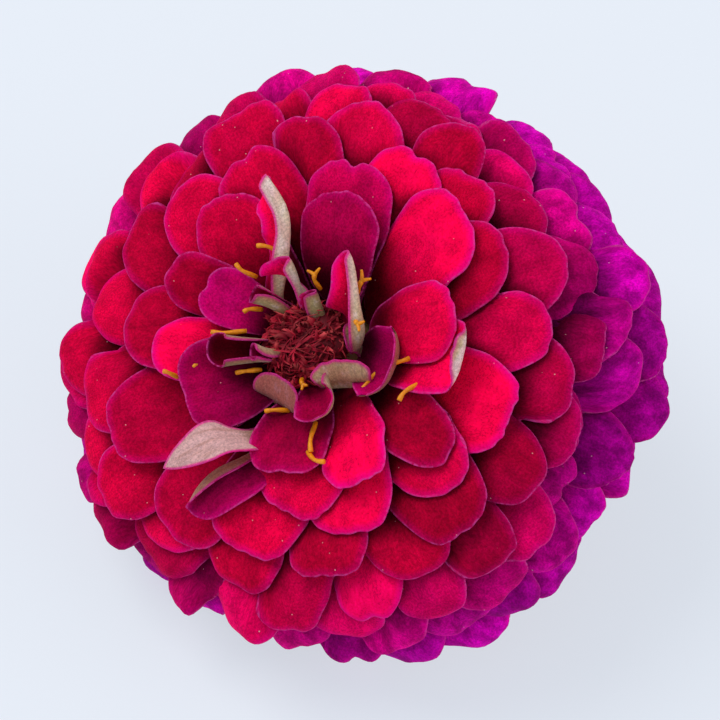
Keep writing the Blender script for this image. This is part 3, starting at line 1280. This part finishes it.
def velvet_petal(colours):
    """Upper skin of a ray petal: cells that stand up like velvet, so it glows and never shines."""
    material, tree = new_material("velvet_petal_skin")
    age, opened, edge, light, place = blade_coordinates(tree)
    # drift: a petal doesn't fade evenly, so its colour wanders between fresh and old
    drift = product(tree, noise(tree, place, (0.16, 0.09, 1), 3.0), 0.24)
    drift = maths(tree, "ADD", drift, -0.12)
    ramp = add_node(tree, "ShaderNodeValToRGB", {0: maths(tree, "ADD", age, drift, clamp=True)})
    stops = ramp.color_ramp.elements
    stops[0].color = rgba(colours.crimson)
    stops[1].color = rgba(colours.purple)
    for position, tint in ((0.36, colours.rose), (0.7, colours.magenta)):
        stops.new(position).color = rgba(tint)
    # depth: dark under other petals, with long streaks, fine velvet grain and soft clouds
    streak = noise(tree, place, (2.0, 0.14, 1), 3.0)
    grain = noise(tree, place, (3.4, 2.8, 1), 4.0, 0.7)
    cloud = noise(tree, place, (0.42, 0.3, 1))
    depth = product(
        tree,
        spread(tree, opened, 0.08, 1.0, 0.14, 1.04),
        spread(tree, streak, 0.25, 0.75, 0.93, 1.05),
        spread(tree, grain, 0.25, 0.75, 0.56, 1.22),
        spread(tree, cloud, 0.3, 0.7, 0.78, 1.1),
        spread(tree, light, 0, 1, 0.46, 1.38),
    )
    # crumple: old petals are limp and uneven
    crumple = noise(tree, place, (0.6, 0.4, 1), 3.0)
    crumple = product(tree, spread(tree, crumple, 0.35, 0.65, -0.3, 0.24), spread(tree, age, 0.2, 0.8))
    depth = product(tree, depth, maths(tree, "ADD", crumple, 1.0))
    base = darkened(tree, ramp.outputs[0], depth)
    fringe = product(tree, spread(tree, edge, 0.0, 0.5, 0.5, 0.0), depth)
    base = blend(tree, fringe, base, colours.magenta)
    # rim: a worn pale line along the edge
    worn = spread(tree, noise(tree, place, (1.5, 1.5, 1), 3.0, 0.7), 0.35, 0.65, 0.05, 0.8)
    rim = product(tree, spread(tree, edge, 0.02, 0.12, 1.0, 0.0), worn)
    base = blend(tree, rim, base, colours.rim)
    # specks: pollen grains on about half of the cells
    cells = add_node(
        tree, "ShaderNodeTexVoronoi", {"Vector": stretched(tree, place, (0.6, 0.5, 1)), "Scale": 1.0}
    )
    keep = add_node(tree, "ShaderNodeSeparateColor", {0: cells.outputs["Color"]}).outputs[0]
    grains = spread(tree, cells.outputs["Distance"], 0.02, 0.07, 0.7, 0.0)
    base = blend(tree, product(tree, grains, spread(tree, keep, 0.5, 0.52)), base, colours.pollen)
    height = maths(tree, "ADD", product(tree, grain, 0.5), product(tree, streak, 0.5))
    return finished(
        material,
        {
            "Base Color": base,
            "Roughness": 0.75,
            "IOR": 1.38,
            "Specular IOR Level": 0.03,
            "Sheen Weight": 0.22,
            "Sheen Roughness": 0.35,
            "Sheen Tint": (1.0, 0.02, 0.32, 1.0),
            "Subsurface Weight": 0.1,
            "Subsurface Radius": (1.0, 0.05, 0.2),
            "Subsurface Scale": 0.0012,
            "Normal": bumps(tree, height, 0.0002, 0.6),
        },
    )


def petal_underside(colours):
    """Back of a ray petal: a dull buff skin with greenish parallel veins and a pink flush."""
    material, tree = new_material("petal_underside")
    age, opened, edge, light, place = blade_coordinates(tree)
    veins = noise(tree, place, (1.5, 0.1, 1), 3.0)
    grain = noise(tree, place, (3.6, 3.0, 1), 4.0, 0.7)
    patch = noise(tree, place, (0.25, 0.14, 1))
    blot = noise(tree, place, (0.9, 0.5, 1), 3.0, 0.6)
    pale = product(tree, spread(tree, light, 0.4, 0.85), spread(tree, opened, 0.35, 0.8, 0.2, 0.9))
    base = blend(tree, pale, colours.underside, colours.underside_pale)
    base = blend(tree, spread(tree, veins, 0.45, 0.7, 0.0, 0.4), base, colours.underside_green)
    base = blend(tree, spread(tree, blot, 0.5, 0.72, 0.0, 0.6), base, colours.underside_pale)
    # flush: in patches, along the edge, and all over an old petal
    flush = spread(tree, patch, 0.45, 0.7, 0.0, 0.35)
    for more in (spread(tree, edge, 0.06, 0.4, 0.6, 0.0), spread(tree, age, 0.15, 0.6, 0.0, 0.8)):
        flush = maths(tree, "MAXIMUM", flush, more)
    base = blend(tree, flush, base, colours.underside_flush)
    base = blend(tree, spread(tree, edge, 0.05, 0.17, 0.85, 0.0), base, colours.magenta)
    depth = spread(tree, grain, 0.25, 0.75, 0.62, 1.25)
    depth = product(tree, depth, spread(tree, light, 0, 1, 0.75, 1.1))
    height = maths(tree, "ADD", product(tree, grain, 0.5), veins)
    return finished(
        material,
        {
            "Base Color": darkened(tree, base, depth),
            "Roughness": 0.7,
            "IOR": 1.4,
            "Specular IOR Level": 0.3,
            "Sheen Weight": 0.15,
            "Sheen Roughness": 0.5,
            "Normal": bumps(tree, height, 0.00025, 0.8),
        },
    )


def leafy_skin(name, green, dark, rough, colours):
    """Satin plant skin: fine lengthwise veins, blotches and a darker, ragged edge."""
    material, tree = new_material(name)
    _, _, edge, _, place = blade_coordinates(tree)
    blotch = noise(tree, place, (0.5, 0.5, 0.5), 3.0)
    veins = noise(tree, place, (2.6, 0.2, 0.4), 3.0)
    tips = noise(tree, place, (2.0, 1.4, 1))
    base = blend(tree, spread(tree, blotch, 0.3, 0.7, 0.0, 0.55), green, colours.pith)
    base = blend(tree, spread(tree, veins, 0.5, 0.75, 0.0, 0.35), base, colours.stem)
    worn = spread(tree, tips, 0.35, 0.6, 0.3, 1.0)
    worn = product(tree, spread(tree, edge, 0.1, 0.34, 1.0, 0.0), worn)
    return finished(
        material,
        {
            "Base Color": blend(tree, worn, base, dark),
            "Roughness": rough,
            "IOR": 1.4,
            "Specular IOR Level": 0.4,
            "Normal": bumps(tree, veins, 0.0002, 0.6),
        },
    )


def bract_skin(colours):
    return leafy_skin("bract_leaf_skin", colours.bract, colours.bract_edge, 0.5, colours)


def stem_skin(colours):
    return leafy_skin("ribbed_stem_skin", colours.stem, colours.bract, 0.48, colours)


def spongy_pith(colours):
    """Fleshy core and cut face: pale, matt, faintly fibrous, and maroon under the disc."""
    material, tree = new_material("spongy_pith")
    where = add_node(tree, "ShaderNodeTexCoord").outputs["Object"]
    blotch = noise(tree, where, (900, 900, 900), 3.0)
    base = blend(tree, spread(tree, blotch, 0.3, 0.7, 0.0, 0.6), colours.pith, colours.bract)
    height = add_node(tree, "ShaderNodeSeparateXYZ", {0: where}).outputs[2]
    return finished(
        material,
        {
            "Base Color": blend(tree, spread(tree, height, 0.036, 0.044), base, colours.chaff),
            "Roughness": 0.75,
            "IOR": 1.4,
            "Normal": bumps(tree, blotch, 0.0002, 0.6),
        },
    )


def dry_scale(colours):
    """Papery spent scales: dull maroon, brighter and pinker along their torn tips."""
    material, tree = new_material("dry_papery_scale")
    age, share, _, light, place = blade_coordinates(tree)
    fibres = noise(tree, place, (5.0, 0.5, 1), 3.0)
    tip = spread(tree, share, 0.45, 1.0, 0.0, 0.85)
    tip = product(tree, tip, spread(tree, light, 0.2, 1.0, 0.1, 1.0))
    depth = product(
        tree,
        spread(tree, share, 0.0, 0.6, 0.4, 1.0),
        spread(tree, age, 0, 1, 0.5, 1.15),
        spread(tree, fibres, 0.3, 0.7, 0.7, 1.15),
    )
    base = darkened(tree, blend(tree, tip, colours.chaff, colours.chaff_tip), depth)
    return finished(
        material, {"Base Color": base, "Roughness": 0.6, "IOR": 1.4, "Specular IOR Level": 0.35}
    )


def waxy_style(colours):
    """Styles: waxy orange, deeper in patches."""
    material, tree = new_material("waxy_orange_style")
    patch = noise(tree, blade_coordinates(tree)[-1], (1.6, 1.6, 1.6))
    patch = spread(tree, patch, 0.35, 0.7, 0.0, 0.5)
    return finished(
        material,
        {
            "Base Color": blend(tree, patch, colours.style, colours.style_foot),
            "Roughness": 0.45,
            "IOR": 1.42,
            "Subsurface Weight": 0.15,
            "Subsurface Radius": (1.0, 0.5, 0.1),
            "Subsurface Scale": 0.0006,
        },
    )


_materials = {}


def shared_material(maker):
    """One copy of each material, made when it is first asked for."""
    if maker.__name__ not in _materials:
        _materials[maker.__name__] = maker(bpy.context.scene.zinnia_colours)
    return _materials[maker.__name__]


def petal_materials():
    return [shared_material(velvet_petal), shared_material(petal_underside)]


# ---- operators ------------------------------------------------------------------------

CROWD = Crowd()
TIGHT_CURL = 60  # degrees: a tip that curls more than this keeps its shape when it is pressed
WHORL_FACES = 0.8  # of the rows and columns of a petal that stands alone

# The first seed of each kind of piece, so that every piece always grows the same way.
YOUNG_SEED, FACE_SEED, WHORL_SEED = 101, 201, 300
SCALE_SEED, STYLE_SEED, BRACT_SEED, STEM_SEED = 400, 401, 410, 420


def add_curled(parts, petal, rng, shape, rows, columns):
    """Adds a petal drawn through stations: nothing presses it, but it shades the later ones."""
    thickness = shape.thickness / MM
    point, normal, x, y, share, gap, hollow = curled_blade(petal, rng, rows, columns)
    CROWD.join(point, thickness, presses=False)
    opened = smooth(0.05, 0.7, share) * (1 - 0.75 * hollow)
    add_sheet(parts, point, normal, x, y, opened, gap, thickness, petal.age, petal.light, share)


def make_petal_object(name, petals, seed, node, density=1.0):
    """One piece made of these petals, each ray petal pressed under those placed before it."""
    shape = bpy.context.scene.zinnia_shape
    rng = seeded(seed)
    parts = MeshParts()
    rows, columns = int(shape.rows * density), int(shape.columns * density)
    thickness = shape.thickness / MM
    for petal in petals:
        if isinstance(petal, Curled):
            add_curled(parts, petal, rng, shape, rows, columns)
            continue
        grown = vary(petal, rng)
        point, normal, x, y, share, gap = ray_blade(grown, rng, shape, rows, columns)
        point = CROWD.press(point, share, petal.curl_from if petal.curl > TIGHT_CURL else 1.0)
        point = off_the_table(point)
        opened = 1 - petal.shelter * (1 - CROWD.openness(point, share))
        CROWD.join(point, thickness)
        drawn = rng.uniform(0.22, 0.7)
        light = drawn if petal.light is None else petal.light
        age = petal_age(petal, rng)
        normal = surface_normals(point, normal)
        add_sheet(parts, point, normal, x, y, opened, gap, thickness, age, light, share)
    made = parts.build(name, petal_materials())
    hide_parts(node)
    return made


class ZINNIA_OT_inner_petals(bpy.types.Operator):
    """Rolled and folded young petals that stand round the disc"""

    bl_idname = "zinnia.inner_petals"
    bl_label = "Inner Petals"

    def execute(self, context):
        shape = context.scene.zinnia_shape
        for i, petal in enumerate(YOUNG_PETALS):
            parts = MeshParts()
            columns = int(shape.columns * 1.5)
            add_curled(parts, petal, seeded(YOUNG_SEED + i), shape, shape.rows, columns)
            made = parts.build(f"young_petal_{i + 1:02d}", petal_materials())
            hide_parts(f"inner_petal_{i + 1:02d}")
        return {"FINISHED"}


class ZINNIA_OT_face_petals(bpy.types.Operator):
    """Broad crimson petals that cover the face of the bloom"""

    bl_idname = "zinnia.face_petals"
    bl_label = "Face Petals"

    def execute(self, context):
        for i, petal in enumerate(FACE_PETALS):
            name, node = f"broad_petal_{i + 1:02d}", f"face_petal_{i + 1:02d}"
            make_petal_object(name, [petal], FACE_SEED + i, node)
        return {"FINISHED"}


class ZINNIA_OT_outer_whorls(bpy.types.Operator):
    """Whorls of older magenta petals down to the rim"""

    bl_idname = "zinnia.outer_whorls"
    bl_label = "Outer Whorls"

    def execute(self, context):
        shape = context.scene.zinnia_shape
        for i in range(len(WHORL_BASES)):
            name, node = f"outer_whorl_{i + 1}", f"petal_whorl_{i + 1}"
            petals = whorl_petals(i, shape)
            make_petal_object(name, petals, WHORL_SEED + i, node, WHORL_FACES)
        return {"FINISHED"}


class ZINNIA_OT_disc(bpy.types.Operator):
    """Dry scales of the disc and the orange styles among them"""

    bl_idname = "zinnia.disc"
    bl_label = "Disc and Styles"

    def execute(self, context):
        scales, styles = disc_scales(seeded(SCALE_SEED)), forked_styles(seeded(STYLE_SEED))
        for made in (
            scales.build("dry_disc_scales", [shared_material(dry_scale)] * 2),
            styles.build("forked_styles", [shared_material(waxy_style)]),
        ):
            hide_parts("disc_chaff")
        return {"FINISHED"}


class ZINNIA_OT_bracts_and_stem(bpy.types.Operator):
    """Green bracts, the ribbed stem, and the skin of the receptacle"""

    bl_idname = "zinnia.bracts_and_stem"
    bl_label = "Bracts and Stem"

    def execute(self, context):
        for i, (name, row) in enumerate(BRACT_ROWS.items()):
            parts = bracts(row, seeded(BRACT_SEED + i))
            made = parts.build(f"{name}_bracts", [shared_material(bract_skin)] * 2)
            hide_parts(f"bract_row_{name}")
        stem = stem_solid(seeded(STEM_SEED))
        made = stem.build("ribbed_stem", [shared_material(stem_skin), shared_material(spongy_pith)])
        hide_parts("cut_stem")
        for slot in bpy.data.objects["receptacle"].material_slots:
            slot.material = shared_material(spongy_pith)
        return {"FINISHED"}


class ZINNIA_OT_stage(bpy.types.Operator):
    """Pale table, soft window light and the camera"""

    bl_idname = "zinnia.stage"
    bl_label = "Stage"

    def execute(self, context):
        stage = context.scene.zinnia_stage
        make_table(stage)
        make_light(context.scene, stage)
        make_camera(context.scene, stage)
        return {"FINISHED"}


TABLE_REACH = 4.0  # metres from the bloom to the table's edge


def make_table(stage):
    """A wide pale table top that gives back a little light of its own."""
    material, _ = new_material("painted_table_top")
    finished(
        material,
        {
            "Base Color": rgba(stage.table_shade),
            "Roughness": 0.75,
            "Emission Color": rgba(stage.table),
            "Emission Strength": stage.glow,
        },
    )
    mesh = bpy.data.meshes.new("table_top")
    corners = [(x * TABLE_REACH, y * TABLE_REACH, 0) for x, y in ((-1, -1), (1, -1), (1, 1), (-1, 1))]
    mesh.from_pydata(corners, [], [(0, 1, 2, 3)])
    mesh.materials.append(material)
    table = bpy.data.objects.new("table_top", mesh)
    bpy.context.scene.collection.objects.link(table)


def soft_light(name, position, size, power, tint):
    data = bpy.data.lights.new(name, "AREA")
    data.shape = "SQUARE"
    data.size = size
    data.energy = power
    data.color = tint
    light = bpy.data.objects.new(name, data)
    light.location = position
    target = Vector(CENTRE * MM)
    light.rotation_euler = (target - Vector(position)).to_track_quat("-Z", "Y").to_euler()
    bpy.context.scene.collection.objects.link(light)


def make_light(scene, stage):
    scene.view_settings.view_transform = "Standard"
    world = bpy.data.worlds.new("room_light")
    world.use_nodes = True
    back = world.node_tree.nodes["Background"]
    back.inputs["Color"].default_value = rgba(stage.sky)
    back.inputs["Strength"].default_value = stage.sky_strength
    scene.world = world
    soft_light("window", (-1.0, 0.55, 1.85), 1.3, stage.window_power, (1.0, 0.97, 0.93))
    soft_light("white_card", (1.25, -0.3, 0.75), 1.0, stage.card_power, (1.0, 0.98, 1.0))


FRAME = 720  # pixels a side
CENTRE_AT = (367.0, 364.0)  # pixels: where the bloom's middle falls in the frame
SENSOR = 36.0  # mm


def make_camera(scene, stage):
    """Looks down from the front; moved sideways, not turned, to put the bloom in its place."""
    ahead = Vector((0, math.cos(stage.elevation), -math.sin(stage.elevation)))
    upward = Vector((0, math.sin(stage.elevation), math.cos(stage.elevation)))
    right = (CENTRE_AT[0] - FRAME / 2) / stage.scale * MM
    down = (CENTRE_AT[1] - FRAME / 2) / stage.scale * MM
    data = bpy.data.cameras.new("camera")
    data.sensor_width = SENSOR
    data.lens = stage.scale * (stage.distance / MM) / FRAME * SENSOR
    data.clip_start = 0.01
    camera = bpy.data.objects.new("camera", data)
    shift = upward * down - Vector((right, 0, 0))
    camera.location = Vector(CENTRE * MM) - ahead * stage.distance + shift
    camera.rotation_euler = ahead.to_track_quat("-Z", "Y").to_euler()
    scene.collection.objects.link(camera)
    scene.camera = camera


class ZINNIA_PT_bloom(bpy.types.Panel):
    """Lists the sizes, colours and pieces of the bloom"""

    bl_idname = "ZINNIA_PT_bloom"
    bl_label = "Zinnia Bloom"
    bl_space_type = "VIEW_3D"
    bl_region_type = "UI"
    bl_category = "Zinnia"

    def draw(self, context):
        for name, group in GROUPS.items():
            box = self.layout.box()
            for value in group.__annotations__:
                box.prop(getattr(context.scene, name), value)
        for operator in OPERATORS:
            self.layout.operator(operator.bl_idname)


OPERATORS = (
    ZINNIA_OT_inner_petals,
    ZINNIA_OT_face_petals,
    ZINNIA_OT_outer_whorls,
    ZINNIA_OT_disc,
    ZINNIA_OT_bracts_and_stem,
    ZINNIA_OT_stage,
)
GROUPS = {"zinnia_shape": ZinniaShape, "zinnia_colours": ZinniaColours, "zinnia_stage": ZinniaStage}


def register():
    for made in (*GROUPS.values(), *OPERATORS, ZINNIA_PT_bloom):
        bpy.utils.register_class(made)
    for name, group in GROUPS.items():
        setattr(bpy.types.Scene, name, PointerProperty(type=group))


def unregister():
    for name in GROUPS:
        delattr(bpy.types.Scene, name)
    for made in reversed((*GROUPS.values(), *OPERATORS, ZINNIA_PT_bloom)):
        bpy.utils.unregister_class(made)


def main():
    register()
    bpy.ops.zinnia.inner_petals()
    bpy.ops.zinnia.face_petals()
    bpy.ops.zinnia.outer_whorls()
    bpy.ops.zinnia.disc()
    bpy.ops.zinnia.bracts_and_stem()
    bpy.ops.zinnia.stage()


if __name__ == "__main__":
    main()
